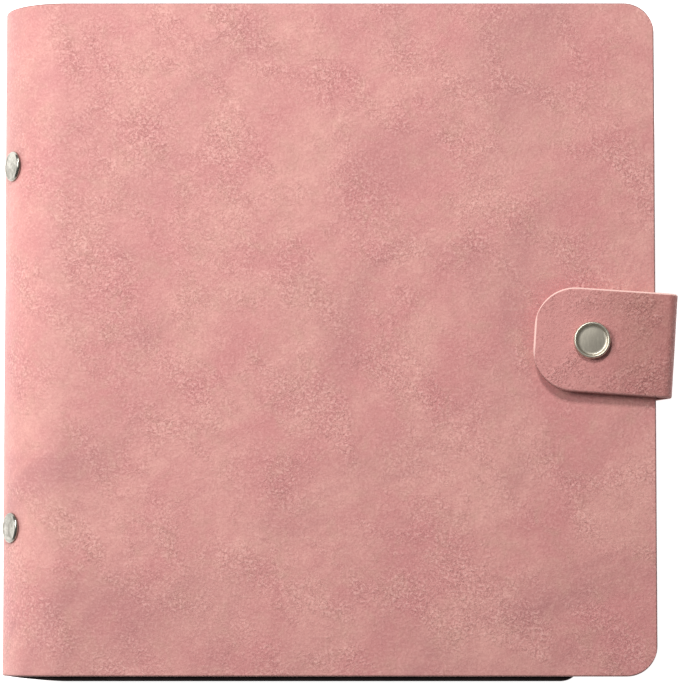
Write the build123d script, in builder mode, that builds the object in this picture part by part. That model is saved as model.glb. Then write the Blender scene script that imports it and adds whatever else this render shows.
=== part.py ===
"""Scrapbook album: a soft leather wrap with a black liner and a snap strap, round a three-ring
binder mechanism that holds twenty leaves of black card.

Millimetres. The closed album lies on its back cover. The origin is the centre of the back cover's
flat underside, +X points to the fore edge, +Y to the head and +Z up through the leaves.
The spine is a half tube whose centre line is also the centre of the rings, so the leaves, the
rings and the spine are all laid out by an angle about that line: 0 degrees points to the fore
edge, 90 up and 270 down.
"""

import os
from math import asin, cos, degrees, radians, sin, sqrt

from build123d import *

os.makedirs("parts", exist_ok=True)

# Cover
HEIGHT = 265.0  # along the spine
FLAT_WIDTH = 231.0  # from the end of the spine's curve to the fore edge
THICKNESS = 54.0  # of the closed album, over the two covers
LEATHER = 1.5
COVER_CORNER = 12.0
LINER = 1.0
LINER_WIDTH = 201.3  # from the end of the spine's curve
LINER_CORNER = 8.0
LINER_TAIL = -HEIGHT / 2 - 1.8  # the covers' liner shows below the leather at the tail
LINER_HEAD = HEIGHT / 2 - 2.8

# Spine: two stiff strips between three creases, as angles about the ring centre
SPINE_RADIUS = THICKNESS / 2
SPINE_X = -FLAT_WIDTH / 2
SPINE_Z = SPINE_RADIUS
BACK_ANGLE = 270.0
LOWER_STRIP = (212.5, 228.5)
SPINE_STRIP = (125.0, 171.0)
FRONT_ANGLE = 90.0
LEATHER_INNER = SPINE_RADIUS - LEATHER
LINER_INNER = LEATHER_INNER - LINER

# Ring mechanism: mounted on the spine, facing away from the base angle
BASE_ANGLE = 148.0
RING_RADIUS = 20.0  # of the wire's centre line
WIRE = 3.0
RING_PITCH = 107.95  # three-hole standard, 4 1/4 in
RING_YS = (-RING_PITCH, 0.0, RING_PITCH)
FOOT_OFFSET = 7.0  # of a ring's foot from the middle of the mechanism
TIP_GAP = 0.2  # degrees between each ring's tip and the middle

SHIELD_LENGTH = 248.0
SHIELD_WIDTH = 20.0
SHIELD_SHEET = 1.0
SHIELD_TOP = 17.3  # distances from the ring centre, out through the spine
SHIELD_SHOULDER = 20.9
SHIELD_BASE = sqrt(LINER_INNER**2 - (SHIELD_WIDTH / 2) ** 2)
RING_SLOT = 4.4
RING_SLOT_START = 4.7
CROWN_NOTCH = (15.0, 7.0)  # width, and length in from each end

PLATE_TOP = 20.8
PLATE_THICKNESS = 1.2
PLATE_LENGTH = 234.0
PLATE_EDGES = (0.15, 8.7)
PLATE_RELIEF = 3.6  # radius of the notch round each rivet

# Rivets through the spine
RIVET_YS = (-74.2, 69.4)
RIVET_HEAD = 12.0
RIVET_SHANK = 4.0
RIVET_SEAT = 26.3  # distance of the head's flat face from the ring centre
RIVET_RIM = 0.6
RIVET_DOME = 0.9
RIVET_TAIL_HEAD = (7.6, 0.8)
FIT = 0.1  # clearance on a radius
OVERCUT = 1.0  # how far a cut runs past what it goes through

# Booster levers at both ends of the mechanism
PIVOT_Y = 121.0
PIVOT_N = 20.2
PIN_RADIUS = 1.0
PIN_HALF_LENGTH = 9.4
LEVER_BARREL = 2.0
LEVER_HALF_WIDTH = 4.0
PADDLE_HALF_WIDTH = 6.0
FINGER_HALF_WIDTH = 1.5
# side outlines: distance from the middle of the album's height, and from the ring centre
LEVER_ARM = ((121.0, 18.4), (130.4, 16.9), (130.7, 18.2), (122.0, 20.6))
LEVER_PADDLE = ((125.6, 17.67), (130.4, 16.9), (130.7, 18.2), (125.6, 19.6))
LEVER_FINGER = (
    (115.5, 22.4),
    (115.5, 23.3),
    (121.5, 23.3),
    (122.4, 21.2),
    (119.6, 21.2),
    (118.6, 22.4),
)

# Leaves
LEAF_COUNT = 20
LEAF_THICKNESS = 1.0
LEAF_HEIGHT = 258.0
LEAF_MARGIN = 9.0  # from the hole's centre to the inner edge
LEAF_REACH = 180.0  # from the hole's centre to the fore edge
LEAF_CORNER = 6.0
LEAF_HOLE = (12.0, 8.0)
LEAF_SPREAD = 45.0  # angle of the top leaf's hole about the ring centre
LEAF_FAN = 1.6  # tilt of the top leaf

# Strap, turned a little clockwise about the snap
SNAP_X = 90.1
SNAP_Y = -1.6
STRAP_TURN = 3.8
STRAP_WIDTH = 41.0
STRAP_THICKNESS = 2.0
STRAP_END_CORNER = 16.0
STRAP_TIP = -22.6  # distances along the strap from the snap
STRAP_ROOT = -2.5
STRAP_OUTER = 32.9
STRAP_BEND = 3.0  # radius of the middle of the leather
STRAP_LEAN = 16.0  # angle that the riser leans out from the vertical on its way up
FLAP_GAP = 2.8  # between the front cover and the flap

# Snap
CAP_DIAMETER = 14.5
CAP_HEIGHT = 2.2
POST_RADIUS = 2.0
SOCKET_RADIUS = 6.0
SOCKET_HEIGHT = 1.6
SOCKET_BORE = 3.6
SOCKET_WEB = 0.4
STUD_FLANGE = (5.5, 0.8)
STUD_RADIUS = 3.1
STUD_HEIGHT = 1.5
STUD_ROUNDING = 0.5
STUD_POST_RADIUS = 1.8
BACKING_FLANGE = (4.1, 0.7)

# Directions: out through the spine at the mechanism, across it, and along the strap
BASE = radians(BASE_ANGLE)
OUT = Vector(cos(BASE), 0, sin(BASE))
ACROSS = Vector(-sin(BASE), 0, cos(BASE))
CENTRE = Vector(SPINE_X, 0, SPINE_Z)
TURN = radians(STRAP_TURN)
ALONG_STRAP = Vector(cos(TURN), -sin(TURN), 0)
ACROSS_STRAP = Vector(-sin(TURN), -cos(TURN), 0)


def keep(piece, name):
    """Label a finished piece and write its file."""
    piece.part.label = name
    export_step(piece.part, f"parts/{name}.step")


def cross_section(y=0.0):
    """The plane across the mechanism: local x across the spine, local y out through it."""
    return Plane(origin=CENTRE + Vector(0, y, 0), x_dir=ACROSS, z_dir=(0, 1, 0))


def long_section(across=0.0):
    """The plane along the mechanism: local x along the spine, local y out through it."""
    return Plane(origin=CENTRE + ACROSS * across, x_dir=(0, 1, 0), z_dir=-ACROSS)


def facing_out(y, distance):
    """The plane square to the mechanism: local x along the spine, local y across it."""
    return Plane(origin=CENTRE + OUT * distance + Vector(0, y, 0), x_dir=(0, 1, 0), z_dir=OUT)


# Cover sheets


def cover_sheet(bottom, thickness, width, tail, head, corner):
    """A flat sheet from the end of the spine's curve, rounded at its fore-edge corners."""
    with BuildPart() as sheet:
        with BuildSketch(Plane.XY.offset(bottom)) as outline:
            with Locations((SPINE_X, tail)):
                Rectangle(width, head - tail, align=(Align.MIN, Align.MIN))
            fillet(outline.vertices().group_by(Axis.X)[-1], radius=corner)
        extrude(amount=thickness)
    return sheet


def spine_strip(inner, outer, angles, tail, head):
    """A stretch of the spine's half tube between two angles."""
    first, last = angles
    middle = (SPINE_X, SPINE_Z)
    with BuildPart() as strip:
        with BuildSketch(Plane.XZ.offset(-tail)):
            with BuildLine():
                outside = CenterArc(middle, outer, first, last - first)
                inside = CenterArc(middle, inner, first, last - first)
                Line(outside @ 0, inside @ 0)
                Line(outside @ 1, inside @ 1)
            make_face()
        extrude(amount=head - tail, dir=(0, 1, 0))
    return strip


LEATHER_SIZE = (FLAT_WIDTH, -HEIGHT / 2, HEIGHT / 2, COVER_CORNER)
LINER_SIZE = (LINER_WIDTH, LINER_TAIL, LINER_HEAD, LINER_CORNER)

back_cover_leather = cover_sheet(0, LEATHER, *LEATHER_SIZE)
keep(back_cover_leather, "back_cover_leather")

back_cover_liner = cover_sheet(LEATHER, LINER, *LINER_SIZE)
keep(back_cover_liner, "back_cover_liner")

with BuildPart() as front_cover_leather:
    add(cover_sheet(THICKNESS - LEATHER, LEATHER, *LEATHER_SIZE).part)
    with Locations((SNAP_X, SNAP_Y, THICKNESS)):
        Hole(STUD_POST_RADIUS + FIT, depth=LEATHER)
keep(front_cover_leather, "front_cover_leather")

front_cover_liner = cover_sheet(THICKNESS - LEATHER - LINER, LINER, *LINER_SIZE)
keep(front_cover_liner, "front_cover_liner")

# Spine: creases of leather and liner in one, and strips with the liner as a piece of its own
CREASES = {
    "crease_back": (LOWER_STRIP[1], BACK_ANGLE),
    "crease_lower": (SPINE_STRIP[1], LOWER_STRIP[0]),
    "crease_front": (FRONT_ANGLE, SPINE_STRIP[0]),
}
for name, angles in CREASES.items():
    keep(spine_strip(LINER_INNER, SPINE_RADIUS, angles, -HEIGHT / 2, HEIGHT / 2), name)

spine_lower_leather = spine_strip(
    LEATHER_INNER, SPINE_RADIUS, LOWER_STRIP, -HEIGHT / 2, HEIGHT / 2
)
keep(spine_lower_leather, "spine_lower_leather")

spine_lower_liner = spine_strip(
    LINER_INNER, LEATHER_INNER, LOWER_STRIP, -HEIGHT / 2, LINER_HEAD
)
keep(spine_lower_liner, "spine_lower_liner")

with BuildPart() as spine_leather:
    add(
        spine_strip(
            LEATHER_INNER, SPINE_RADIUS, SPINE_STRIP, -HEIGHT / 2, HEIGHT / 2
        ).part
    )
    for y in RIVET_YS:
        with BuildSketch(facing_out(y, RIVET_SEAT)):
            Circle(RIVET_HEAD / 2 + FIT)
        extrude(amount=LEATHER, mode=Mode.SUBTRACT)
        with BuildSketch(facing_out(y, SHIELD_BASE)):
            Circle(RIVET_SHANK / 2 + FIT)
        extrude(amount=2 * (SPINE_RADIUS - SHIELD_BASE), mode=Mode.SUBTRACT)
keep(spine_leather, "spine_leather")

with BuildPart() as spine_liner:
    add(
        spine_strip(LINER_INNER, LEATHER_INNER, SPINE_STRIP, -HEIGHT / 2, LINER_HEAD).part
    )
    for y in RIVET_YS:
        with BuildSketch(facing_out(y, SHIELD_BASE)):
            Circle(RIVET_SHANK / 2 + FIT)
        extrude(amount=2 * (SPINE_RADIUS - SHIELD_BASE), mode=Mode.SUBTRACT)
keep(spine_liner, "spine_liner")


# Rivets: a domed head on the leather, a shank through the mechanism, a flat head on its crown
def spine_rivet(y):
    """One rivet, turned about the line out through the spine at y."""
    head = RIVET_HEAD / 2
    shank = RIVET_SHANK / 2
    tail_head, tail_height = RIVET_TAIL_HEAD[0] / 2, RIVET_TAIL_HEAD[1]
    crown = SHIELD_TOP - tail_height
    with BuildPart() as rivet:
        with BuildSketch(long_section()):
            with BuildLine():
                Polyline(
                    (y, RIVET_SEAT + RIVET_RIM + RIVET_DOME),
                    (y, crown),
                    (y + tail_head, crown),
                    (y + tail_head, SHIELD_TOP),
                    (y + shank, SHIELD_TOP),
                    (y + shank, RIVET_SEAT),
                    (y + head, RIVET_SEAT),
                    (y + head, RIVET_SEAT + RIVET_RIM),
                )
                RadiusArc(
                    (y + head, RIVET_SEAT + RIVET_RIM),
                    (y, RIVET_SEAT + RIVET_RIM + RIVET_DOME),
                    -(head**2 + RIVET_DOME**2) / (2 * RIVET_DOME),
                )
            make_face()
        revolve(axis=Axis(CENTRE + Vector(0, y, 0), OUT))
    return rivet


for name, y in zip(("spine_rivet_tail", "spine_rivet_head"), RIVET_YS):
    keep(spine_rivet(y), name)


# Ring mechanism
with BuildPart() as ring_shield:
    with BuildSketch(cross_section(-SHIELD_LENGTH / 2)):
        edge = SHIELD_WIDTH / 2
        wall = edge - SHIELD_SHEET
        with BuildLine():
            ThreePointArc((-edge, SHIELD_SHOULDER), (0, SHIELD_TOP), (edge, SHIELD_SHOULDER))
            Polyline(
                (edge, SHIELD_SHOULDER),
                (edge, SHIELD_BASE),
                (wall, SHIELD_BASE),
                (wall, SHIELD_SHOULDER),
            )
            ThreePointArc(
                (wall, SHIELD_SHOULDER),
                (0, SHIELD_TOP + SHIELD_SHEET),
                (-wall, SHIELD_SHOULDER),
            )
            Polyline(
                (-wall, SHIELD_SHOULDER),
                (-wall, SHIELD_BASE),
                (-edge, SHIELD_BASE),
                (-edge, SHIELD_SHOULDER),
            )
        make_face()
    extrude(amount=SHIELD_LENGTH)
    # slots that let the rings' feet out through both sides
    slot_width = SHIELD_WIDTH / 2 - RING_SLOT_START + OVERCUT
    for y in RING_YS:
        with BuildSketch(facing_out(y, SHIELD_TOP - OVERCUT)):
            with Locations(*[(0, side * (RING_SLOT_START + slot_width / 2)) for side in (-1, 1)]):
                Rectangle(RING_SLOT, slot_width)
        extrude(amount=SHIELD_BASE - SHIELD_TOP + 2 * OVERCUT, mode=Mode.SUBTRACT)
    # notches in the crown for the booster levers, and holes for their pins and for the rivets
    notch_width, notch_length = CROWN_NOTCH
    for end in (-1, 1):
        notch_y = end * (SHIELD_LENGTH - notch_length) / 2
        with BuildSketch(facing_out(notch_y, SHIELD_TOP - OVERCUT)):
            Rectangle(notch_length, notch_width)
        extrude(amount=SHIELD_SHOULDER - SHIELD_TOP + OVERCUT, mode=Mode.SUBTRACT)
        with BuildSketch(long_section(-SHIELD_WIDTH / 2)):
            with Locations((end * PIVOT_Y, PIVOT_N)):
                Circle(PIN_RADIUS)
        extrude(amount=-SHIELD_WIDTH, mode=Mode.SUBTRACT)
    for y in RIVET_YS:
        with BuildSketch(facing_out(y, SHIELD_TOP - OVERCUT)):
            Circle(RIVET_SHANK / 2 + FIT)
        extrude(amount=SHIELD_SHEET + 2 * OVERCUT, mode=Mode.SUBTRACT)
keep(ring_shield, "ring_shield")


def toggle_plate(side):
    """One of the two plates under the shield, which carries a half of each ring."""
    inner, outer = PLATE_EDGES
    with BuildPart() as plate:
        with BuildSketch(facing_out(0, PLATE_TOP)):
            with Locations((0, side * (inner + outer) / 2)):
                Rectangle(PLATE_LENGTH, outer - inner)
            with Locations(*[(y, 0) for y in RIVET_YS]):
                Circle(PLATE_RELIEF, mode=Mode.SUBTRACT)
        extrude(amount=PLATE_THICKNESS)
    return plate


def half_ring(y, side):
    """Half a ring: wire from the tip round to a straight foot on its toggle plate."""
    foot_angle = degrees(asin(FOOT_OFFSET / RING_RADIUS))
    foot_height = RING_RADIUS * cos(radians(foot_angle))
    sweep_angle = 180 - foot_angle - TIP_GAP
    start = -90 + TIP_GAP if side > 0 else 90 + foot_angle
    with BuildPart() as ring:
        with BuildLine(cross_section(y)) as path:
            CenterArc((0, 0), RING_RADIUS, start, sweep_angle)
        with BuildSketch(Plane(origin=path.line @ 0, z_dir=path.line % 0)):
            Circle(WIRE / 2)
        sweep()
        with BuildSketch(facing_out(y, foot_height)):
            with Locations((0, side * FOOT_OFFSET)):
                Circle(WIRE / 2)
        extrude(amount=PLATE_TOP - foot_height)
        knee = CENTRE + OUT * foot_height + ACROSS * (side * FOOT_OFFSET) + Vector(0, y, 0)
        with Locations(knee):
            Sphere(WIRE / 2)
    return ring


for half, side in (("lower", 1), ("upper", -1)):
    keep(toggle_plate(side), f"toggle_plate_{half}")
    for place, y in zip(("tail", "middle", "head"), RING_YS):
        keep(half_ring(y, side), f"ring_{half}_{place}")


# Booster levers: a paddle outside, a barrel on its pin, and a finger under the toggle plates
def booster_lever(end):
    """The lever at one end: its side outlines, each with its own width."""
    widths = (
        (LEVER_ARM, LEVER_HALF_WIDTH),
        (LEVER_PADDLE, PADDLE_HALF_WIDTH),
        (LEVER_FINGER, FINGER_HALF_WIDTH),
    )
    with BuildPart() as lever:
        with BuildSketch(long_section()):
            with Locations((end * PIVOT_Y, PIVOT_N)):
                Circle(LEVER_BARREL)
        extrude(amount=LEVER_HALF_WIDTH, both=True)
        for outline, half_width in widths:
            with BuildSketch(long_section()):
                with BuildLine():
                    Polyline(*[(end * y, n) for y, n in outline], close=True)
                make_face()
            extrude(amount=half_width, both=True)
        with BuildSketch(long_section()):
            with Locations((end * PIVOT_Y, PIVOT_N)):
                Circle(PIN_RADIUS + FIT)
        extrude(amount=SHIELD_WIDTH, both=True, mode=Mode.SUBTRACT)
    return lever


def booster_pin(end):
    """The pin that a lever turns on, held in both walls of the shield."""
    with BuildPart() as pin:
        with BuildSketch(long_section()):
            with Locations((end * PIVOT_Y, PIVOT_N)):
                Circle(PIN_RADIUS)
        extrude(amount=PIN_HALF_LENGTH, both=True)
    return pin


for place, end in (("tail", -1), ("head", 1)):
    keep(booster_lever(end), f"booster_{place}")
    keep(booster_pin(end), f"booster_pin_{place}")


# Leaves: evenly spaced up the rings and fanned a little towards the fore edge
def leaf(number):
    """One leaf, numbered from 1 at the bottom."""
    share = 2 * (number - 1) / (LEAF_COUNT - 1) - 1  # -1 at the bottom, 1 at the top
    rise = share * RING_RADIUS * sin(radians(LEAF_SPREAD))
    tilt = radians(share * LEAF_FAN)
    hole = CENTRE + Vector(sqrt(RING_RADIUS**2 - rise**2), 0, rise)
    plane = Plane(
        origin=hole, x_dir=(cos(tilt), 0, sin(tilt)), z_dir=(-sin(tilt), 0, cos(tilt))
    )
    with BuildPart() as sheet:
        with BuildSketch(plane) as outline:
            with Locations(((LEAF_REACH - LEAF_MARGIN) / 2, 0)):
                Rectangle(LEAF_REACH + LEAF_MARGIN, LEAF_HEIGHT)
            fillet(outline.vertices(), radius=LEAF_CORNER)
            with Locations(*[(0, y) for y in RING_YS]):
                SlotOverall(*LEAF_HOLE, mode=Mode.SUBTRACT)
        extrude(amount=LEAF_THICKNESS / 2, both=True)
    return sheet


for number in range(1, LEAF_COUNT + 1):
    keep(leaf(number), f"page_{number:02d}")


# Strap: a root on the back cover, a riser past the fore edge and a flap over the front cover
ROOT_MIDDLE = LEATHER + STRAP_THICKNESS / 2
FLAP_MIDDLE = THICKNESS + FLAP_GAP + STRAP_THICKNESS / 2
LEAN = radians(STRAP_LEAN)
RISER_LENGTH = (FLAP_MIDDLE - ROOT_MIDDLE - 2 * STRAP_BEND) / cos(LEAN)
# centres of the bends: distance along the strap from the snap, and height
UPPER_BEND = (STRAP_OUTER - STRAP_THICKNESS / 2 - STRAP_BEND, FLAP_MIDDLE - STRAP_BEND)
LOWER_BEND = (UPPER_BEND[0] - RISER_LENGTH * sin(LEAN), ROOT_MIDDLE + STRAP_BEND)
BEND_RADII = (STRAP_BEND - STRAP_THICKNESS / 2, STRAP_BEND + STRAP_THICKNESS / 2)
STRAP_FLAT = Plane(origin=(SNAP_X, SNAP_Y, 0), x_dir=ALONG_STRAP, z_dir=(0, 0, 1))
STRAP_SIDE = Plane(origin=(SNAP_X, SNAP_Y, 0), x_dir=ALONG_STRAP, z_dir=ACROSS_STRAP)


def riser_point(centre, radius):
    """The end of a bend's radius, where the bend meets the riser."""
    return (centre[0] + radius * cos(LEAN), centre[1] - radius * sin(LEAN))


with BuildPart() as strap_root:
    with BuildSketch(STRAP_FLAT.offset(LEATHER)):
        with Locations(((STRAP_ROOT + LOWER_BEND[0]) / 2, 0)):
            Rectangle(LOWER_BEND[0] - STRAP_ROOT, STRAP_WIDTH)
    extrude(amount=STRAP_THICKNESS)
keep(strap_root, "strap_root")

with BuildPart() as strap_riser:
    with BuildSketch(STRAP_SIDE):
        with BuildLine():
            Polyline(
                *[riser_point(LOWER_BEND, radius) for radius in BEND_RADII],
                *[riser_point(UPPER_BEND, radius) for radius in reversed(BEND_RADII)],
                close=True,
            )
        make_face()
    extrude(amount=STRAP_WIDTH / 2, both=True)
keep(strap_riser, "strap_riser")

with BuildPart() as strap_flap:
    with BuildSketch(STRAP_FLAT.offset(THICKNESS + FLAP_GAP)) as outline:
        with Locations(((STRAP_TIP + UPPER_BEND[0]) / 2, 0)):
            Rectangle(UPPER_BEND[0] - STRAP_TIP, STRAP_WIDTH)
        tip = outline.vertices().sort_by(lambda corner: corner.X)[:2]
        fillet(tip, radius=STRAP_END_CORNER)
        Circle(POST_RADIUS + FIT, mode=Mode.SUBTRACT)
    extrude(amount=STRAP_THICKNESS)
keep(strap_flap, "strap_flap")


def strap_bend(centre, first, turn):
    """A bend of the strap about a line at its centre, from an angle and through a turn."""
    inner, outer = BEND_RADII
    with BuildPart() as bend:
        with BuildSketch(STRAP_SIDE):
            with BuildLine():
                outside = CenterArc(centre, outer, first, turn)
                inside = CenterArc(centre, inner, first, turn)
                Line(outside @ 0, inside @ 0)
                Line(outside @ 1, inside @ 1)
            make_face()
        extrude(amount=STRAP_WIDTH / 2, both=True)
    return bend


keep(strap_bend(LOWER_BEND, 270, 90 - STRAP_LEAN), "strap_bend_lower")
keep(strap_bend(UPPER_BEND, -STRAP_LEAN, 90 + STRAP_LEAN), "strap_bend_upper")

# Snap: a cap and socket on the flap, a stud and backing post on the front cover
SNAP_AXIS = Axis((SNAP_X, SNAP_Y, 0), (0, 0, 1))
SNAP_SIDE = Plane(origin=(SNAP_X, SNAP_Y, 0), x_dir=(1, 0, 0), z_dir=(0, -1, 0))
FLAP_TOP = THICKNESS + FLAP_GAP + STRAP_THICKNESS
FLAP_UNDER = THICKNESS + FLAP_GAP
WEB_UNDER = FLAP_UNDER - SOCKET_WEB

with BuildPart() as snap_cap:
    with BuildSketch(SNAP_SIDE):
        with BuildLine():
            Polyline(
                (0, FLAP_TOP + CAP_HEIGHT),
                (0, WEB_UNDER),
                (POST_RADIUS, WEB_UNDER),
                (POST_RADIUS, FLAP_TOP),
                (CAP_DIAMETER / 2, FLAP_TOP),
                (CAP_DIAMETER / 2, FLAP_TOP + CAP_HEIGHT / 2),
            )
            rim = CAP_DIAMETER / 2 - CAP_HEIGHT / 2
            RadiusArc(
                (CAP_DIAMETER / 2, FLAP_TOP + CAP_HEIGHT / 2),
                (rim, FLAP_TOP + CAP_HEIGHT),
                -CAP_HEIGHT / 2,
            )
            Line((rim, FLAP_TOP + CAP_HEIGHT), (0, FLAP_TOP + CAP_HEIGHT))
        make_face()
    revolve(axis=SNAP_AXIS)
keep(snap_cap, "snap_cap")

with BuildPart() as snap_socket:
    with BuildSketch(Plane(origin=(SNAP_X, SNAP_Y, FLAP_UNDER))):
        Circle(SOCKET_RADIUS)
        Circle(POST_RADIUS, mode=Mode.SUBTRACT)
    extrude(amount=-SOCKET_WEB)
    with BuildSketch(Plane(origin=(SNAP_X, SNAP_Y, WEB_UNDER))):
        Circle(SOCKET_RADIUS)
        Circle(SOCKET_BORE, mode=Mode.SUBTRACT)
    extrude(amount=SOCKET_WEB - SOCKET_HEIGHT)
keep(snap_socket, "snap_socket")

with BuildPart() as snap_stud:
    with BuildSketch(Plane(origin=(SNAP_X, SNAP_Y, THICKNESS))):
        Circle(STUD_FLANGE[0])
    extrude(amount=STUD_FLANGE[1])
    with BuildSketch(Plane(origin=(SNAP_X, SNAP_Y, THICKNESS + STUD_FLANGE[1]))):
        Circle(STUD_RADIUS)
    extrude(amount=STUD_HEIGHT)
    rim_edge = snap_stud.edges().filter_by(GeomType.CIRCLE).sort_by(Axis.Z)[-1]
    fillet(rim_edge, radius=STUD_ROUNDING)
keep(snap_stud, "snap_stud")

with BuildPart() as snap_post:
    with BuildSketch(Plane(origin=(SNAP_X, SNAP_Y, THICKNESS))):
        Circle(STUD_POST_RADIUS)
    extrude(amount=-LEATHER)
    with BuildSketch(Plane(origin=(SNAP_X, SNAP_Y, THICKNESS - LEATHER))):
        Circle(BACKING_FLANGE[0])
    extrude(amount=-BACKING_FLANGE[1])
keep(snap_post, "snap_post")
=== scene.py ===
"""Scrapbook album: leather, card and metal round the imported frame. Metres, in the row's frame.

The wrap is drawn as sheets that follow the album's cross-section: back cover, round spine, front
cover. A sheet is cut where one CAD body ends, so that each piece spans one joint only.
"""

import math

import bmesh
import bpy
import numpy as np
from mathutils import Matrix, Vector, noise


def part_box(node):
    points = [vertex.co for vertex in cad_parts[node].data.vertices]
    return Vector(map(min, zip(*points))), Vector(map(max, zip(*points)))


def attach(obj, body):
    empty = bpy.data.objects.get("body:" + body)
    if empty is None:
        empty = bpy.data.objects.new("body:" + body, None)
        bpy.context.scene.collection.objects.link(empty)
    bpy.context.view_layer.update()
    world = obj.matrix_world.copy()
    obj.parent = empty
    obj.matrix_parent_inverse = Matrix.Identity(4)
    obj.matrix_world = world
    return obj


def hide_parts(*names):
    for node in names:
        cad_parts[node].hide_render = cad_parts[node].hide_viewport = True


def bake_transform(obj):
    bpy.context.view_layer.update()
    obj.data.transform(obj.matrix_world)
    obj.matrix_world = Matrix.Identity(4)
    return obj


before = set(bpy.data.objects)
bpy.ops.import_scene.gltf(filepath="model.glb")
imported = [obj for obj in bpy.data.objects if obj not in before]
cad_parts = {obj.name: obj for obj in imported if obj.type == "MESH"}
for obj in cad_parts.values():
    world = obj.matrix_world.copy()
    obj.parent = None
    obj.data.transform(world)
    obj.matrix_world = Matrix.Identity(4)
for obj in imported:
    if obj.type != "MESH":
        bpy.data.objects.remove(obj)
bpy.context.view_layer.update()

MM = 0.001

# Cover, read from the frame
BACK_LOW, BACK_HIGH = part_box("back_cover_leather")
LINER_LOW, LINER_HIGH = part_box("back_cover_liner")
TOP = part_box("front_cover_leather")[1].z
SPINE_X = BACK_LOW.x
RADIUS = TOP / 2
CENTRE = Vector((SPINE_X, 0, RADIUS))
COVER_CORNER = 12 * MM
LINER_CORNER = 8 * MM
LEATHER = BACK_HIGH.z - BACK_LOW.z
LINER_DEPTH = (LEATHER, LINER_HIGH.z)

# Spine, as angles about the ring centre
BACK_ANGLE = 270
LOWER_STRIP = (212.5, 228.5)
SPINE_STRIP = (125, 171)
FRONT_ANGLE = 90
LOWER_SEAM = sum(LOWER_STRIP) / 2
BASE_ANGLE = sum(SPINE_STRIP) / 2
BASE = math.radians(BASE_ANGLE)
OUT = Vector((math.cos(BASE), 0, math.sin(BASE)))

# Rivets
RIVET_YS = (-74.2 * MM, 69.4 * MM)
RIVET_SEAT = 26.3 * MM
RIVET_RADIUS = 6 * MM

# Strap
SNAP = sum(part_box("snap_cap"), Vector()) / 2
SNAP.z = 0
STRAP_TURN = math.radians(3.8)
ALONG = Vector((math.cos(STRAP_TURN), -math.sin(STRAP_TURN), 0))
STRAP_ACROSS = Vector((math.sin(STRAP_TURN), math.cos(STRAP_TURN), 0))
STRAP_WIDTH = 41 * MM
STRAP_CORNER = 16 * MM
STRAP_TIP = -22.6 * MM
STRAP_ROOT = -2.5 * MM
STRAP_LEAN = 16  # degrees from the vertical
BEND_OUTER = 4 * MM
ROOT_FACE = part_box("strap_root")[0].z
FLAP_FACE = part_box("strap_flap")[1].z
STRAP_THICKNESS = 2 * MM
# centres of the bends: distance along the strap from the snap, and height
UPPER_BEND = (28.9 * MM, FLAP_FACE - BEND_OUTER)
RISE = UPPER_BEND[1] - ROOT_FACE - BEND_OUTER
LOWER_BEND = (
    UPPER_BEND[0] - RISE * math.tan(math.radians(STRAP_LEAN)),
    ROOT_FACE + BEND_OUTER,
)

# Leaves
LEAF_COUNT = 20
LEAF_THICKNESS = 1 * MM
RING_RADIUS = 20 * MM
RING_YS = (-107.95 * MM, 0, 107.95 * MM)
LEAF_SPREAD = math.radians(45)
LEAF_FAN = math.radians(1.6)
LEAF_INNER, LEAF_OUTER = -9 * MM, 180 * MM
LEAF_HALF_HEIGHT = 129 * MM
LEAF_CORNER = 6 * MM


# Materials


# the Mix node's sockets for colours: factor, A, B, and the result
MIX_COLOUR_SOCKETS = (0, 6, 7)
MIX_COLOUR_RESULT = 2


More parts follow.
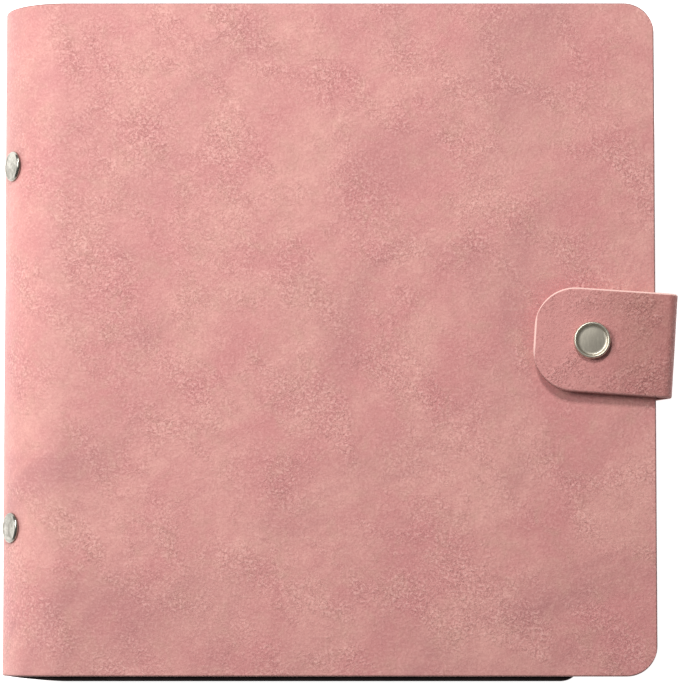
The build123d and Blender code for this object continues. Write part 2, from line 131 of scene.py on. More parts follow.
class Surface:
    """A Principled material built up node by node."""

    def __init__(self, name, **values):
        self.material = bpy.data.materials.new(name)
        self.material.use_nodes = True
        self.tree = self.material.node_tree
        self.shader = self.tree.nodes["Principled BSDF"]
        for socket, value in values.items():
            self.shader.inputs[socket.replace("_", " ")].default_value = value

    def add(self, kind, values=None, links=None, **settings):
        """A node, with its settings, its socket values, and links from other nodes' outputs."""
        made = self.tree.nodes.new("ShaderNode" + kind)
        for key, value in settings.items():
            setattr(made, key, value)
        for socket, value in (values or {}).items():
            made.inputs[socket].default_value = value
        for socket, output in (links or {}).items():
            self.tree.links.new(output, made.inputs[socket])
        return made

    def noise(self, vector, size, detail=2.0, roughness=0.5, distortion=0.0):
        """Noise whose features are about this size in metres; gives a value from 0 to 1."""
        values = {
            "Scale": 1 / size,
            "Detail": detail,
            "Roughness": roughness,
            "Distortion": distortion,
        }
        return self.add("TexNoise", values, {"Vector": vector}).outputs["Fac"]

    def streaks(self, vector, angle, stretch):
        """Coordinates turned by an angle and then drawn out, for features that lie aslant."""
        turned = self.add("Mapping", {"Rotation": (0, 0, angle)}, {"Vector": vector})
        links = {"Vector": turned.outputs["Vector"]}
        return self.add("Mapping", {"Scale": (1.0, stretch, 1.0)}, links).outputs["Vector"]

    def ramp(self, value, low, high, to_low=0.0, to_high=1.0):
        """Value spread smoothly from low..high onto to_low..to_high."""
        values = {"From Min": low, "From Max": high, "To Min": to_low, "To Max": to_high}
        made = self.add(
            "MapRange", values, {"Value": value}, interpolation_type="SMOOTHSTEP"
        )
        return made.outputs["Result"]

    def maths(self, operation, a, b):
        """a and b, each an output or a number, through a Math node."""
        made = self.add("Math", operation=operation)
        for socket, value in zip(made.inputs, (a, b)):
            if isinstance(value, (int, float)):
                socket.default_value = value
            else:
                self.tree.links.new(value, socket)
        return made.outputs[0]

    def mix(self, share, first, second, blend_type="MIX"):
        """Two colours, each an output or a tuple, mixed by a share."""
        made = self.add("Mix", data_type="RGBA", blend_type=blend_type)
        sockets = [made.inputs[i] for i in MIX_COLOUR_SOCKETS]
        for socket, value in zip(sockets, (share, first, second)):
            if isinstance(value, bpy.types.NodeSocket):
                self.tree.links.new(value, socket)
            elif isinstance(value, (int, float)):
                socket.default_value = value
            else:
                socket.default_value = (*value, 1)
        return made.outputs[MIX_COLOUR_RESULT]

    def bump(self, height, distance, strength, under=None):
        """A bump of this depth in metres, over an earlier one."""
        values = {"Distance": distance, "Strength": strength}
        links = {"Height": height}
        if under is not None:
            links["Normal"] = under
        return self.add("Bump", values, links).outputs["Normal"]

    def use(self, **outputs):
        for socket, output in outputs.items():
            self.tree.links.new(output, self.shader.inputs[socket.replace("_", " ")])
        return self.material


# sizes of the leather's features
CLOUDS, TINTS, BLOTCHES, DUSKY_AREAS = 0.026, 0.011, 0.0055, 0.042
GRAIN_PATCHES, CREASES, DENTS, FIBRES = 0.02, 0.0021, 0.0042, 0.0004
# how they lie: an angle in radians and how far they are drawn out
RISING, FALLING = (0.85, 0.55), (-0.8, 0.6)

PAINTED_LIGHT_REACH = (0.088, 0.122)  # painted light, paler towards the tip: along the strap, from the fold to near the tip
HEAD_SIDE_HIGHLIGHT_REACH = (-0.014, -0.002)  # painted highlight on the strap's cut edge: across the strap, from its tail side


def leather(name, grain, least, pebble, pink, peach, khaki, dusk, shade, light, painted_light_tip=None):
    """Matte leather: cloudy colour, and fine pebble grain that comes and goes in patches, with a
    painted highlight on its tops and painted shade in its hollows.

    least is the grain's share between the patches, pebble the size of its pebbles, and the
    last argument a paler colour painted over the strap's tip as painted light.
    """
    s = Surface(name, Roughness=0.62, Sheen_Weight=0.1, Sheen_Roughness=0.45)
    flat = s.add("UVMap", uv_map="Unrolled").outputs["UV"]
    rising, falling = s.streaks(flat, *RISING), s.streaks(flat, *FALLING)
    clouds = s.ramp(s.noise(rising, CLOUDS, 4, 0.6, 0.4), 0.34, 0.66)
    tints = s.ramp(s.noise(flat, TINTS, 4, 0.65, 0.8), 0.46, 0.7)
    blotches = s.ramp(s.noise(flat, BLOTCHES, 4, 0.65, 0.6), 0.3, 0.7)
    dusky = s.ramp(s.noise(rising, DUSKY_AREAS, 5, 0.6, 0.6), 0.46, 0.72, 0.0, 0.8)
    colour = s.mix(clouds, pink, peach)
    colour = s.mix(dusky, colour, dusk)
    colour = s.mix(s.maths("MULTIPLY", tints, 0.55), colour, khaki)
    colour = s.mix(s.maths("MULTIPLY", blotches, 0.4), colour, tuple(c * 0.9 for c in pink))
    # painted light: the strap is painted paler towards its tip, the end nearer the left light
    if painted_light_tip:
        along = s.add("SeparateXYZ", links={"Vector": flat}).outputs["X"]
        colour = s.mix(s.ramp(along, *PAINTED_LIGHT_REACH, 0.0, 0.85), colour, painted_light_tip)
    # streaked patches where the grain stands out
    patches = s.ramp(s.noise(falling, GRAIN_PATCHES, 4, 0.58, 0.7), 0.42, 0.7, least, 1.0)
    pebbles = s.noise(flat, pebble, 2, 0.5, 0.5)
    creases = s.noise(falling, CREASES, 3, 0.6, 1.3)
    valley = s.ramp(s.maths("ABSOLUTE", s.maths("SUBTRACT", creases, 0.5), 0), 0.0, 0.045)
    height = s.maths("ADD", pebbles, s.maths("MULTIPLY", valley, 0.22))
    # painted highlight on the grain's tops and painted shade in its hollows, set by its height
    grain_highlight = s.maths("MULTIPLY", s.ramp(height, 0.66, 0.88), patches)
    grain_shade = s.maths("MULTIPLY", s.ramp(height, 0.64, 0.42), patches)
    colour = s.mix(s.maths("MULTIPLY", grain_shade, 0.4 * grain), colour, shade)
    colour = s.mix(s.maths("MULTIPLY", grain_highlight, 0.38 * grain), colour, light)
    normal = s.bump(s.noise(flat, DENTS, 3), 0.0004, 0.3)
    normal = s.bump(s.maths("MULTIPLY", height, patches), 0.0005, 0.55 * grain, normal)
    normal = s.bump(s.noise(flat, FIBRES, 3, 0.7), 0.00006, 0.4, normal)
    rough = s.maths("ADD", s.maths("MULTIPLY", patches, 0.08), s.ramp(clouds, 0, 1, 0.54, 0.62))
    return s.use(Base_Color=colour, Normal=normal, Roughness=rough)


def cut_edge(name, colour, pale=None):
    """The fibrous cut edge of the leather, which can carry a painted highlight on the side towards
    the head.
    """
    s = Surface(name, Roughness=0.7)
    flat = s.add("UVMap", uv_map="Unrolled").outputs["UV"]
    fibres = s.noise(flat, 0.0006, 4, 0.7)
    dark = tuple(c * 0.55 for c in colour)
    tone = s.mix(s.ramp(fibres, 0.3, 0.7), dark, colour)
    # painted highlight: the edge is painted paler towards the head side, where the light catches it
    if pale:
        height = s.add("SeparateXYZ", links={"Vector": flat}).outputs["Y"]
        tone = s.mix(s.ramp(height, *HEAD_SIDE_HIGHLIGHT_REACH), tone, pale)
    return s.use(Base_Color=tone, Normal=s.bump(fibres, 0.0002, 0.5))


def suede(name):
    """Black suede liner: a soft nap, brushed lighter in places."""
    s = Surface(name, Roughness=0.95, Sheen_Weight=0.04, Sheen_Roughness=0.4)
    s.shader.inputs["Specular IOR Level"].default_value = 0.2
    flat = s.add("UVMap", uv_map="Unrolled").outputs["UV"]
    brushed = s.noise(flat, 0.018, 4, 0.6, 1.0)
    nap = s.noise(flat, 0.0006, 4, 0.8)
    tone = s.mix(s.ramp(brushed, 0.35, 0.7), (0.008, 0.004, 0.004), (0.02, 0.012, 0.012))
    tone = s.mix(s.ramp(nap, 0.3, 0.8, 0, 0.4), tone, (0.035, 0.024, 0.024))
    return s.use(Base_Color=tone, Normal=s.bump(nap, 0.00015, 0.6))


def card():
    """Black card: fine fibres, flecks and a faint sheen where it has been handled."""
    s = Surface("black_card", Roughness=0.82)
    flat = s.add("TexCoord").outputs["Object"]
    fibres = s.noise(flat, 0.0009, 5, 0.75, 0.8)
    cloudy = s.noise(flat, 0.03, 3)
    tone = s.mix(s.ramp(fibres, 0.35, 0.75), (0.010, 0.009, 0.010), (0.026, 0.024, 0.026))
    rough = s.ramp(cloudy, 0.3, 0.7, 0.8, 0.86)
    return s.use(Base_Color=tone, Roughness=rough, Normal=s.bump(fibres, 0.00008, 0.5))


def metal(name, colour, dark, roughness, brushed=0.5):
    """Plated metal: faint clouding, fine scratches and a little grime."""
    s = Surface(name, Metallic=1.0)
    place = s.add("TexCoord").outputs["Object"]
    stretched = s.add("Mapping", {"Scale": (1.0, 0.08, 1.0)}, {"Vector": place}).outputs["Vector"]
    scratches = s.noise(stretched, 0.0003, 4, 0.7)
    clouds = s.noise(place, 0.004, 4, 0.6, 0.6)
    tone = s.mix(s.ramp(clouds, 0.35, 0.7), dark, colour)
    rough = s.maths(
        "ADD",
        s.ramp(clouds, 0.3, 0.7, roughness + 0.06, roughness),
        s.ramp(scratches, 0.4, 0.75, 0.0, 0.08),
    )
    return s.use(Base_Color=tone, Roughness=rough, Normal=s.bump(scratches, 0.00002, brushed))


PINK_LEATHER = leather(
    "pink_leather",
    grain=1.2,
    least=0.36,
    pebble=1.05 * MM,
    pink=(0.645, 0.258, 0.248),
    peach=(0.74, 0.365, 0.318),
    khaki=(0.62, 0.33, 0.265),
    dusk=(0.50, 0.215, 0.205),
    # shade is painted shade in the grain's hollows, light a painted highlight on its tops
    shade=(0.45, 0.165, 0.155),
    light=(0.95, 0.56, 0.5),
)
STRAP_LEATHER = leather(
    "strap_leather",
    grain=1.6,
    least=0.35,
    pebble=0.9 * MM,
    pink=(0.50, 0.185, 0.172),
    peach=(0.53, 0.225, 0.195),
    khaki=(0.50, 0.25, 0.20),
    dusk=(0.42, 0.15, 0.14),
    # shade is painted shade in the grain's hollows, light a painted highlight on its tops
    shade=(0.28, 0.09, 0.085),
    light=(0.76, 0.42, 0.38),
    # painted light: the paler colour of the strap's tip
    painted_light_tip=(0.68, 0.29, 0.27),
)
# the cover's cut edge: partly its own darker colour, partly painted shade for the dark outline
# along its shaded edges
COVER_EDGE = cut_edge("cover_edge", (0.42, 0.20, 0.18))
# the last colour is a painted highlight along the head side of the strap's edge
STRAP_EDGE = cut_edge("strap_edge", (0.62, 0.29, 0.265), (0.9, 0.58, 0.52))
BLACK_SUEDE = suede("black_suede")
BLACK_CARD = card()
NICKEL = metal("nickel", (0.75, 0.69, 0.57), (0.58, 0.53, 0.44), 0.38)
# painted shade: a darker copy of the nickel, so the rivets stay dark where they reflect the glowing
# floor
SHADED_RIVET_NICKEL = metal("shaded_rivet_nickel", (0.42, 0.41, 0.36), (0.22, 0.21, 0.18), 0.2)
STEEL = metal("plated_steel", (0.80, 0.80, 0.78), (0.66, 0.66, 0.64), 0.16)


# Meshes


def new_object(name, vertices, faces, materials):
    """A mesh object from plain lists."""
    mesh = bpy.data.meshes.new(name)
    mesh.from_pydata(vertices, [], faces)
    for material in materials:
        mesh.materials.append(material)
    made = bpy.data.objects.new(name, mesh)
    bpy.context.collection.objects.link(made)
    return made


def corner_inset(distance, radius):
    """How far a rounded corner pulls the long edge in, this far from the short edge."""
    if distance >= radius:
        return 0.0
    return radius - math.sqrt(max(0.0, radius**2 - (radius - distance) ** 2))


# how far the rounding of a cut edge reaches in
COVER_EDGE_ROUNDING = 0.5 * MM
STRAP_EDGE_ROUNDING = 0.7 * MM
ROUNDING_TURNS = [math.radians(a) for a in (30, 60, 90, 120, 150)]
ROUNDING_SHARES = (0, 0.02, 0.15, 0.5, 1, 1.6)
CORNER_TURNS = range(20, 91, 7)  # degrees

WELD_DISTANCE = 1e-7
FITTING_CREASE = math.radians(50)
LEAF_CREASE = math.radians(40)


class Station:
    """A place along a sheet's path: a point on its outer face, the way in, and its two edges."""

    def __init__(self, along, point, inward, low, high, from_end=1.0, corner=0.0):
        inset = corner_inset(from_end, corner)
        self.along, self.point, self.inward = along, point, inward
        self.low, self.high = low + inset, high - inset
        self.from_end = from_end

    def fullness(self, edge):
        """The share of its full thickness that a sheet has here, near a rounded end."""
        near = max(0.0, edge - self.from_end) / edge
        return math.sqrt(max(0.0, 1 - near**2))


def end_distances(corner, length, cell, edge):
    """Distances in from a rounded end, close together round its edge and corners."""
    turns = [corner * (1 - math.cos(math.radians(a))) for a in CORNER_TURNS]
    near = [share * edge for share in ROUNDING_SHARES]
    rest = np.linspace(corner, length, max(2, round((length - corner) / cell)) + 1)
    return near + [d for d in turns if 2 * edge < d < corner] + list(rest)


def sheet(name, stations, outer, inner, across, cell, edge, materials, wave):
    """A closed sheet along its stations, between two depths, with rounded cut edges."""
    width = max(s.high - s.low for s in stations)
    count = round(width / cell)
    crisp = edge / width
    shares = [0, crisp, *np.linspace(0, 1, count + 1)[1:-1], 1 - crisp, 1]
    middle, half = (outer + inner) / 2, (inner - outer) / 2
    loops, places = [], []
    for s in stations:
        deep = half * s.fullness(edge)
        low, high = s.low + edge, s.high - edge
        rows = [low + (high - low) * t for t in shares]
        ring = [(y, middle - deep) for y in rows]
        ring += [
            (high + edge * math.sin(a), middle - deep * math.cos(a)) for a in ROUNDING_TURNS
        ]
        ring += [(y, middle + deep) for y in reversed(rows)]
        ring += [(low - edge * math.sin(a), middle + deep * math.cos(a)) for a in ROUNDING_TURNS]
        for y, depth in ring:
            places.append((s.along, y))
            shifted = depth + wave(s.along, y)
            loops.append(s.point + s.inward * shifted + across * y)
    size = 2 * (len(shares) + len(ROUNDING_TURNS))
    # the rounded sides are the parts of each ring past the outer face and past the inner face
    outer_end = len(shares) - 1
    inner_start = outer_end + len(ROUNDING_TURNS) + 1
    inner_end = inner_start + outer_end
    faces, edges = [], []
    for i in range(len(stations) - 1):
        rounded = min(stations[i].from_end, stations[i + 1].from_end) < edge
        for j in range(size):
            k = (j + 1) % size
            faces.append((i * size + j, i * size + k, (i + 1) * size + k, (i + 1) * size + j))
            side = outer_end <= j < inner_start or j >= inner_end
            edges.append(rounded or side)
    for first in (0, (len(stations) - 1) * size):
        faces.append(tuple(range(first, first + size)))
        edges.append(True)
    made = new_object(name, loops, faces, materials)
    mesh = made.data
    unrolled = mesh.uv_layers.new(name="Unrolled")
    for loop in mesh.loops:
        unrolled.data[loop.index].uv = places[loop.vertex_index]
    for polygon, is_edge in zip(mesh.polygons, edges):
        polygon.use_smooth = True
        polygon.material_index = 1 if is_edge else 0
    weld(mesh)
    crisp_caps(mesh)
    return made


def crisp_caps(mesh):
    """Keep the flat ends out of the smooth shading, so that no line shows where sheets meet."""
    for polygon in mesh.polygons:
        if len(polygon.vertices) > 4:
            polygon.use_smooth = False
            for loop in polygon.loop_indices:
                mesh.edges[mesh.loops[loop].edge_index].use_edge_sharp = True


def weld(mesh):
    """Join points that meet and turn every face outwards."""
    work = bmesh.new()
    work.from_mesh(mesh)
    bmesh.ops.remove_doubles(work, verts=work.verts, dist=WELD_DISTANCE)
    bmesh.ops.recalc_face_normals(work, faces=work.faces)
    work.to_mesh(mesh)
    work.free()


def lathe(name, profile, origin, axis, material, segments=72):
    """A profile of (radius, height) points in millimetres, turned about an axis."""
    turn = Vector((0, 0, 1)).rotation_difference(axis).to_matrix()
    vertices, faces = [], []
    for radius, height in profile:
        for k in range(segments):
            a = 2 * math.pi * k / segments
            spot = Vector((radius * math.cos(a), radius * math.sin(a), height)) * MM
            vertices.append(origin + turn @ spot)
    for i in range(len(profile) - 1):
        for k in range(segments):
            n = (k + 1) % segments
            faces.append(
                (i * segments + k, i * segments + n, (i + 1) * segments + n, (i + 1) * segments + k)
            )
    made = new_object(name, vertices, faces, [material])
    weld(made.data)
    for polygon in made.data.polygons:
        polygon.use_smooth = True
    sharp = made.modifiers.new("crisp_edges", "EDGE_SPLIT")
    sharp.split_angle = FITTING_CREASE
    return made


# The wrap

WRAP_CELL = 2.6 * MM
TAIL_TAPER = 1.3

# unevenness of the wrap: mean depth, and (height, waves per metre, place in the noise)
WRAP_DEPTH = 0.16 * MM
WRAP_WAVES = ((0.14 * MM, 14, 3.1), (0.04 * MM, 55, 8.7))
# dimple under a rivet: depth, and its flat part and fall in rivet radii
DIMPLE_DEPTH = 0.55 * MM
DIMPLE_FLAT, DIMPLE_FALL = 0.75, 0.55


def arc_point(angle, depth):
    """A point of the spine's cross-section, this deep inside its outer face."""
    a = math.radians(angle)
    return CENTRE + Vector((math.cos(a), 0, math.sin(a))) * (RADIUS - depth)


def spine_stations(first, last, low, high):
    """Stations round the spine from one angle to another, a degree or so apart.

    What stands out past the leather at the tail draws in to its edge round the spine.
    """
    found = []
    for angle in np.linspace(first, last, round(abs(last - first)) + 1):
        a = math.radians(angle)
        way = Vector((-math.cos(a), 0, -math.sin(a)))
        along = RADIUS * math.radians(180 - angle)
        drawn_in = abs(math.cos(a)) ** TAIL_TAPER
        tail = low + max(0.0, BACK_LOW.y - low) * drawn_in
        found.append(Station(along, arc_point(angle, 0), way, tail, high))
    return found


def cover_stations(front, fore_edge, low, high, corner, cell):
    """Stations over a cover, from its fore edge to the spine."""
    height, way = (TOP, -1) if front else (0.0, 1)
    side = 1 if front else -1
    found = []
    for distance in end_distances(corner, fore_edge - SPINE_X, cell, COVER_EDGE_ROUNDING):
        x = fore_edge - distance
        along = side * (RADIUS * math.pi / 2 + x - SPINE_X)
        point = Vector((x, 0, height))
        found.append(Station(along, point, Vector((0, 0, way)), low, high, distance, corner))
    return found


def wrap_wave(along, y):
    """The slight unevenness of the wrap, always inwards, and its dimples under the rivets."""
    depth = WRAP_DEPTH
    for height, waves, place in WRAP_WAVES:
        depth += height * noise.noise(Vector((along * waves, y * waves, place)))
    at_rivet = RADIUS * math.radians(180 - BASE_ANGLE)
    for rivet_y in RIVET_YS:
        away = math.hypot(along - at_rivet, y - rivet_y) / RIVET_RADIUS
        depth += DIMPLE_DEPTH * math.exp(-((max(0.0, away - DIMPLE_FLAT) / DIMPLE_FALL) ** 2))
    return depth


def wrap_pieces(kind, fore_edge, low, high, corner, depths, cell, materials):
    """One layer of the wrap as three sheets, cut in the middle of each stiff strip."""
    back = cover_stations(False, fore_edge, low, high, corner, cell)
    front = cover_stations(True, fore_edge, low, high, corner, cell)
    paths = {
        "back": back[:-1] + spine_stations(BACK_ANGLE, LOWER_SEAM, low, high),
        "spine": spine_stations(LOWER_SEAM, BASE_ANGLE, low, high),
        "front": front[:-1] + spine_stations(FRONT_ANGLE, BASE_ANGLE, low, high),
    }
    across = Vector((0, 1, 0))
    return {
        part: sheet(
            f"{kind}_{part}", path, *depths, across, cell, COVER_EDGE_ROUNDING, materials, wrap_wave
        )
        for part, path in paths.items()
    }


def hang_on_spine(pieces, replaced):
    """Set each sheet of the wrap in the place of the CAD pieces that it replaces."""
    joints = {
        "back": ("back_cover", "spine_lower", BACK_ANGLE, LOWER_STRIP[1]),
        "spine": ("spine_lower", "spine", LOWER_STRIP[0], SPINE_STRIP[1]),
        "front": ("spine", "front_cover", SPINE_STRIP[0], FRONT_ANGLE),
    }
    for part, (first, second, start, end) in joints.items():
        piece = pieces[part]
        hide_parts(*replaced[part])
        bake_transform(piece)


hang_on_spine(
    wrap_pieces(
        "leather", BACK_HIGH.x, BACK_LOW.y, BACK_HIGH.y, COVER_CORNER,
        (0.0, LEATHER), WRAP_CELL, [PINK_LEATHER, COVER_EDGE],
    ),
    {
        "back": ["back_cover_leather", "crease_back", "spine_lower_leather"],
        "spine": ["crease_lower"],
        "front": ["spine_leather", "crease_front", "front_cover_leather"],
    },
)
hang_on_spine(
    wrap_pieces(
        "liner", LINER_HIGH.x, LINER_LOW.y, LINER_HIGH.y, LINER_CORNER,
        LINER_DEPTH, 2 * WRAP_CELL, [BLACK_SUEDE, BLACK_SUEDE],
    ),
    {
        "back": ["back_cover_liner"],
        "spine": ["spine_lower_liner"],
        "front": ["spine_liner", "front_cover_liner"],
    },
)


# The strap

STRAP_CELL, ROOT_CELL, FLAP_CELL = 1.2 * MM, 1.5 * MM, 1 * MM
ROOT_CORNER = 2 * MM
BEND_STATIONS, RISER_STATIONS = 14, 16

# unevenness of the strap: mean depth, and the height, waves per metre and place in the noise
STRAP_DEPTH = 0.12
STRAP_WAVE = (0.1, 40, 5.0)
# handling creases past the fold: place, spread along and across, spacing and depth
CREASE_PLACE, CREASE_SPREAD, CREASE_WIDTH = 9 * MM, 5 * MM, 9 * MM
CREASE_SPACING, CREASE_SLANT, CREASE_DEPTH = 0.55 * MM, 0.25, 0.1


def strap_point(along, height):
    """A point on the strap's middle line, from its distance past the snap and its height."""
    return SNAP + ALONG * along + Vector((0, 0, height))


def bend_point(centre, angle, radius=BEND_OUTER):
    """A point of a bend, by its angle: 0 is outwards and 90 is up."""
    a = math.radians(angle)
    return strap_point(centre[0] + radius * math.cos(a), centre[1] + radius * math.sin(a))


def strap_station(point, angle, travelled, from_end=1.0, corner=0.0):
    """A station whose outer face looks along an angle: -90 down, 0 outwards, 90 up."""
    a = math.radians(angle)
    inward = -ALONG * math.cos(a) - Vector((0, 0, math.sin(a)))
    half = STRAP_WIDTH / 2
    return Station(travelled, point, inward, -half, half, from_end, corner)


def bend_stations(centre, first, last, travelled):
    """Stations round a bend, from one angle to another."""
    return [
        strap_station(
            bend_point(centre, angle), angle, travelled + BEND_OUTER * math.radians(angle - first)
        )
        for angle in np.linspace(first, last, BEND_STATIONS)
    ]


def riser_stations(first, last):
    """Stations up the riser, between two shares of its length."""
    bottom, top = bend_point(LOWER_BEND, -STRAP_LEAN), bend_point(UPPER_BEND, -STRAP_LEAN)
    return [
        strap_station(bottom.lerp(top, t), -STRAP_LEAN, RISER_START + RISER_LENGTH * t)
        for t in np.linspace(first, last, RISER_STATIONS)
    ]


def strap_wave(along, y):
    """Handling creases near the fore edge and a soft unevenness, inwards."""
    height, waves, place = STRAP_WAVE
    soft = STRAP_DEPTH + height * noise.noise(Vector((along * waves, y * waves, place)))
    past = along - FLAP_START
    crease = math.exp(-(((past - CREASE_PLACE) / CREASE_SPREAD) ** 2)) if past > 0 else 0.0
    crease *= math.exp(-((y / CREASE_WIDTH) ** 2))
    ripple = 0.5 + 0.5 * math.sin((along + CREASE_SLANT * y) / CREASE_SPACING)
    return (soft + CREASE_DEPTH * crease * ripple) * MM


# lengths along the outer face, from the strap's root
ROOT_LENGTH = LOWER_BEND[0] - STRAP_ROOT
RISER_START = ROOT_LENGTH + BEND_OUTER * math.radians(90 - STRAP_LEAN)
RISER_LENGTH = RISE / math.cos(math.radians(STRAP_LEAN))
UPPER_START = RISER_START + RISER_LENGTH
FLAP_START = UPPER_START + BEND_OUTER * math.radians(90 + STRAP_LEAN)
FLAP_LENGTH = UPPER_BEND[0] - STRAP_TIP

root = [
    strap_station(strap_point(STRAP_ROOT + d, ROOT_FACE), -90, d, d, ROOT_CORNER)
    for d in end_distances(ROOT_CORNER, ROOT_LENGTH, ROOT_CELL, STRAP_EDGE_ROUNDING)
]
flap = [
    strap_station(
        strap_point(STRAP_TIP + d, FLAP_FACE), 90, FLAP_START + FLAP_LENGTH - d, d, STRAP_CORNER
    )
    for d in end_distances(STRAP_CORNER, FLAP_LENGTH, FLAP_CELL, STRAP_EDGE_ROUNDING)
]
lower_bend = bend_stations(LOWER_BEND, -90, -STRAP_LEAN, ROOT_LENGTH)
upper_bend = bend_stations(UPPER_BEND, -STRAP_LEAN, 90, UPPER_START)
strap_paths = {
    "strap_lower": root[:-1] + lower_bend[:-1] + riser_stations(0, 0.5),
    "strap_upper": riser_stations(0.5, 1)[:-1] + upper_bend + flap[::-1][1:],
}
strap = {
    name: sheet(
        name, path, 0.0, STRAP_THICKNESS, STRAP_ACROSS, STRAP_CELL, STRAP_EDGE_ROUNDING,
        [STRAP_LEATHER, STRAP_EDGE], strap_wave,
    )
    for name, path in strap_paths.items()
}
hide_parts("strap_root", "strap_bend_lower", "strap_riser")
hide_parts("strap_bend_upper", "strap_flap")
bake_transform(strap["strap_lower"])
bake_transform(strap["strap_upper"])


# Snap and rivets, as (radius, height) profiles in millimetres

CAP_PROFILE = [
    (0, 1.35), (2.6, 1.3), (4.6, 1.2), (5.35, 1.15), (5.7, 1.3), (5.95, 1.75), (6.25, 2.08),
    (6.55, 2.2), (6.85, 2.1), (7.1, 1.8), (7.22, 1.4), (7.25, 0.7), (7.15, 0.2), (6.9, 0),
    (2, 0), (2, -2.4), (0, -2.4),
]
SOCKET_PROFILE = [
    (2, 0), (5.7, 0), (5.95, -0.2), (6, -0.5), (6, -1.2), (5.85, -1.5), (5.5, -1.6),
    (4.2, -1.6), (3.75, -1.5), (3.6, -1.2), (3.6, -0.4), (2, -0.4), (2, 0),
]
STUD_PROFILE = [
    (0, 2.3), (2.2, 2.3), (2.7, 2.2), (3.0, 1.95), (3.1, 1.6), (2.95, 1.25), (2.7, 1.0),
    (2.75, 0.8), (4.9, 0.8), (5.3, 0.68), (5.5, 0.4), (5.5, 0), (0, 0),
]
POST_PROFILE = [
    (0, 0), (1.8, 0), (1.8, -1.5), (4.1, -1.5), (4.1, -1.85), (3.8, -2.15), (3.0, -2.2), (0, -2.2),
]
RIVET_PROFILE = [
    (0, 1.5), (1.6, 1.47), (3.0, 1.37), (4.1, 1.22), (4.6, 1.16), (4.9, 1.22), (5.2, 1.3),
    (5.5, 1.22), (5.8, 0.95), (5.98, 0.6), (6.0, 0.2), (5.9, 0), (2, 0), (2, -9), (3.8, -9),
    (3.8, -9.4), (3.3, -9.8), (0, -9.8),
]


def fitting(node, profile, origin, axis, body, material=NICKEL):
    """A turned metal piece in the place of its CAD node."""
    piece = lathe(f"{node}_turned", profile, origin, axis, material)
    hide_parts(node)
    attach(piece, body)


UP = Vector((0, 0, 1))
fitting("snap_cap", CAP_PROFILE, SNAP + UP * FLAP_FACE, UP, "strap_flap")
fitting("snap_socket", SOCKET_PROFILE, SNAP + UP * (FLAP_FACE - STRAP_THICKNESS), UP, "strap_flap")
fitting("snap_stud", STUD_PROFILE, SNAP + UP * TOP, UP, "front_cover")
fitting("snap_post", POST_PROFILE, SNAP + UP * TOP, UP, "front_cover")
for node, y in zip(("spine_rivet_tail", "spine_rivet_head"), RIVET_YS):
    seat = CENTRE + OUT * RIVET_SEAT + Vector((0, y, 0))
    fitting(node, RIVET_PROFILE, seat, OUT, "spine", SHADED_RIVET_NICKEL)


# Leaves: one punched sheet, used for every leaf

PUNCH_HALF = (7.4 * MM, 6 * MM)  # the block of cells that each hole is cut in
PUNCH_CELLS = 8
HOLE_STRAIGHT, HOLE_RADIUS = 2 * MM, 4 * MM
ROWS_BETWEEN = 20
COLUMNS_BETWEEN = (12 * MM, LEAF_OUTER - 10 * MM, 34)
# distances in from the leaf's two long edges, in millimetres
INNER_STEPS = (0, 0.2, 0.7)
OUTER_STEPS = (6, 4.2, 2.8, 1.7, 0.9, 0.35, 0.08, 0)
# waviness of the card: where it starts, and (height in millimetres, waves up, waves across, phase)
WAVY_FROM = 15 * MM
CARD_WAVES = ((0.5, 21, 0, 0.6), (0.25, 47, 12, 0))
# the margin above the last hole, and its rows as shares of its height
MARGIN_START = RING_YS[2] + PUNCH_HALF[1]
MARGIN_SHARES = (0.25, 0.5, 0.75, 0.9, 1)


def hole_point(x, y):
    """Where the ray from a hole's centre to (x, y) meets the edge of the hole."""
    length = math.hypot(x, y)
    c, s = abs(x) / length, abs(y) / length
    reach = HOLE_STRAIGHT * c + math.sqrt(HOLE_RADIUS**2 - (HOLE_STRAIGHT * s) ** 2)
    if s > 0 and HOLE_RADIUS / s * c <= HOLE_STRAIGHT:
        reach = HOLE_RADIUS / s
    return x / length * reach, y / length * reach


def leaf_columns():
    """Distances across the leaf from the holes' centres, close together round its corners."""
    block = list(np.linspace(-PUNCH_HALF[0], PUNCH_HALF[0], PUNCH_CELLS + 1))
    inner = [LEAF_INNER + d * MM for d in INNER_STEPS]
    outer = [LEAF_OUTER - d * MM for d in OUTER_STEPS]
    return inner + block + list(np.linspace(*COLUMNS_BETWEEN)) + outer


def leaf_rows():
    """Heights up the leaf: even cells, with a block of finer ones at each hole."""
    half = PUNCH_HALF[1]
    spans = [(y - half, y + half, PUNCH_CELLS + 1) for y in RING_YS]
    spans += [(RING_YS[0] + half, -half, ROWS_BETWEEN), (half, RING_YS[2] - half, ROWS_BETWEEN)]
    found = {round(y, 7) for span in spans for y in np.linspace(*span)}
    for share in MARGIN_SHARES:
        y = round(MARGIN_START + (LEAF_HALF_HEIGHT - MARGIN_START) * share, 7)
        found.update((y, -y))
    return sorted(found)


def leaf_lift(x, y):
    """The card's slight waviness, nothing at the holes and most at the fore edge."""
    share = max(0.0, (x - WAVY_FROM) / (LEAF_OUTER - WAVY_FROM))
    waves = (h * math.sin(y * up + x * across + phase) for h, up, across, phase in CARD_WAVES)
    return share**1.5 * sum(waves) * MM


def nearest(values, wanted):
    """The index of the value nearest to the wanted one."""
    return min(range(len(values)), key=lambda i: abs(values[i] - wanted))


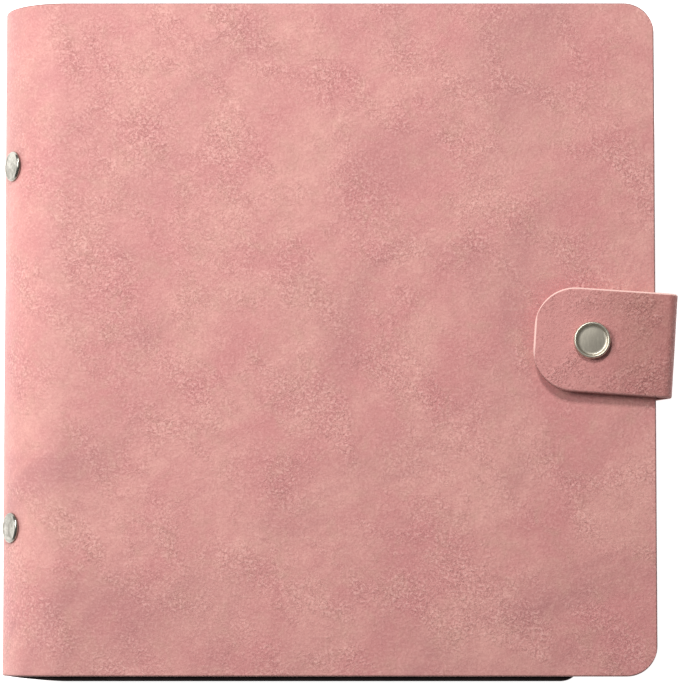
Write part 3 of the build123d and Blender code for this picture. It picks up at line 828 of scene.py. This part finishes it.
def leaf_mesh():
    """The leaf's middle surface, with its rounded corners and three slotted holes."""
    columns, rows = leaf_columns(), leaf_rows()
    vertices, index = [], {}

    def point(x, y):
        from_edge = min(x - LEAF_INNER, LEAF_OUTER - x)
        inset = corner_inset(from_edge, LEAF_CORNER)
        if abs(y) > MARGIN_START:
            share = (abs(y) - MARGIN_START) / (LEAF_HALF_HEIGHT - MARGIN_START)
            reach = MARGIN_START + share * (LEAF_HALF_HEIGHT - inset - MARGIN_START)
            y = math.copysign(reach, y)
        return x, y, leaf_lift(x, y)

    for i, x in enumerate(columns):
        for j, y in enumerate(rows):
            index[i, j] = len(vertices)
            vertices.append(point(x, y))
    first = nearest(columns, -PUNCH_HALF[0])
    starts = [nearest(rows, y - PUNCH_HALF[1]) for y in RING_YS]
    faces = []
    for i in range(len(columns) - 1):
        for j in range(len(rows) - 1):
            in_block = first <= i < first + PUNCH_CELLS
            if in_block and any(start <= j < start + PUNCH_CELLS for start in starts):
                continue
            faces.append((index[i, j], index[i + 1, j], index[i + 1, j + 1], index[i, j + 1]))
    for start, centre in zip(starts, RING_YS):
        last, end = first + PUNCH_CELLS, start + PUNCH_CELLS
        steps = range(PUNCH_CELLS)
        rim = [(first + k, start) for k in steps] + [(last, start + k) for k in steps]
        rim += [(last - k, end) for k in steps] + [(first, end - k) for k in steps]
        inner = []
        for key in rim:
            x, y, _ = vertices[index[key]]
            hx, hy = hole_point(x, y - centre)
            inner.append(len(vertices))
            vertices.append((hx, centre + hy, 0))
        for k in range(len(rim)):
            n = (k + 1) % len(rim)
            faces.append((index[rim[k]], index[rim[n]], inner[n], inner[k]))
    mesh = bpy.data.meshes.new("leaf")
    mesh.from_pydata(vertices, [], faces)
    mesh.materials.append(BLACK_CARD)
    for polygon in mesh.polygons:
        polygon.use_smooth = True
    weld(mesh)
    return mesh


LEAF = leaf_mesh()
for number in range(1, LEAF_COUNT + 1):
    share = 2 * (number - 1) / (LEAF_COUNT - 1) - 1
    rise = share * RING_RADIUS * math.sin(LEAF_SPREAD)
    hole = CENTRE + Vector((math.sqrt(RING_RADIUS**2 - rise**2), 0, rise))
    leaf = bpy.data.objects.new(f"leaf_{number:02d}", LEAF)
    bpy.context.collection.objects.link(leaf)
    leaf.matrix_world = Matrix.Translation(hole) @ Matrix.Rotation(-share * LEAF_FAN, 4, "Y")
    solid = leaf.modifiers.new("thickness", "SOLIDIFY")
    solid.thickness = LEAF_THICKNESS
    solid.offset = 0
    cut = leaf.modifiers.new("crisp_edges", "EDGE_SPLIT")
    cut.split_angle = LEAF_CREASE
    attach(leaf, f"page_{number:02d}")
    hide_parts(f"page_{number:02d}")


# The CAD's own metal pieces
for name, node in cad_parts.items():
    if name.startswith(("ring_", "toggle_", "booster_")):
        node.data.materials.clear()
        node.data.materials.append(STEEL)


# Floor, light and camera

FLOOR_HALF = 30
FLOOR_GREY, FLOOR_GLOW = 0.93, 0.9
SKY_STRENGTH = 0.15
WHITE = (1, 1, 1, 1)

CAMERA_PLACE = Vector((-8.4, -115, 1250)) * MM
CAMERA_TILT = math.radians(3.49)
SENSOR_WIDTH, LENS, SHIFT = 36, 161.35, 0.15
FARTHEST_SEEN = 20


def area_light(name, place, aim, size, power):
    """A soft square light that faces a point."""
    data = bpy.data.lights.new(name, "AREA")
    data.size, data.energy = size, power
    made = bpy.data.objects.new(name, data)
    made.location = place
    made.rotation_mode = "QUATERNION"
    made.rotation_quaternion = (Vector(aim) - Vector(place)).to_track_quat("-Z", "Y")
    bpy.context.collection.objects.link(made)


def studio():
    """A pale floor, an even sky, a broad light on the left and one beyond the head."""
    corners = [(x * FLOOR_HALF, y * FLOOR_HALF, 0) for x, y in ((-1, -1), (1, -1), (1, 1), (-1, 1))]
    floor = new_object("floor", corners, [(0, 1, 2, 3)], [])
    paper = Surface("pale_floor", Roughness=0.9)
    paper.shader.inputs["Base Color"].default_value = (FLOOR_GREY, FLOOR_GREY, FLOOR_GREY, 1)
    paper.shader.inputs["Emission Color"].default_value = WHITE
    paper.shader.inputs["Emission Strength"].default_value = FLOOR_GLOW
    floor.data.materials.append(paper.material)
    world = bpy.data.worlds.new("studio")
    world.use_nodes = True
    world.node_tree.nodes["Background"].inputs["Color"].default_value = WHITE
    world.node_tree.nodes["Background"].inputs["Strength"].default_value = SKY_STRENGTH
    bpy.context.scene.world = world
    area_light("left_light", (-0.66, 0.27, 0.8), (0, 0, 0.05), 0.42, 7.2)
    area_light("head_light", (-0.2, 0.84, 1.0), (0.02, 0, 0.05), 0.22, 9.2)


def camera():
    """Looking down from near the tail edge, with a little shift."""
    data = bpy.data.cameras.new("camera")
    made = bpy.data.objects.new("camera", data)
    bpy.context.collection.objects.link(made)
    made.location = CAMERA_PLACE
    made.rotation_euler = (CAMERA_TILT, 0, 0)
    data.sensor_width, data.lens = SENSOR_WIDTH, LENS
    data.shift_y = SHIFT
    data.clip_end = FARTHEST_SEEN
    bpy.context.scene.camera = made


studio()
camera()
bpy.context.scene.view_settings.view_transform = "Standard"
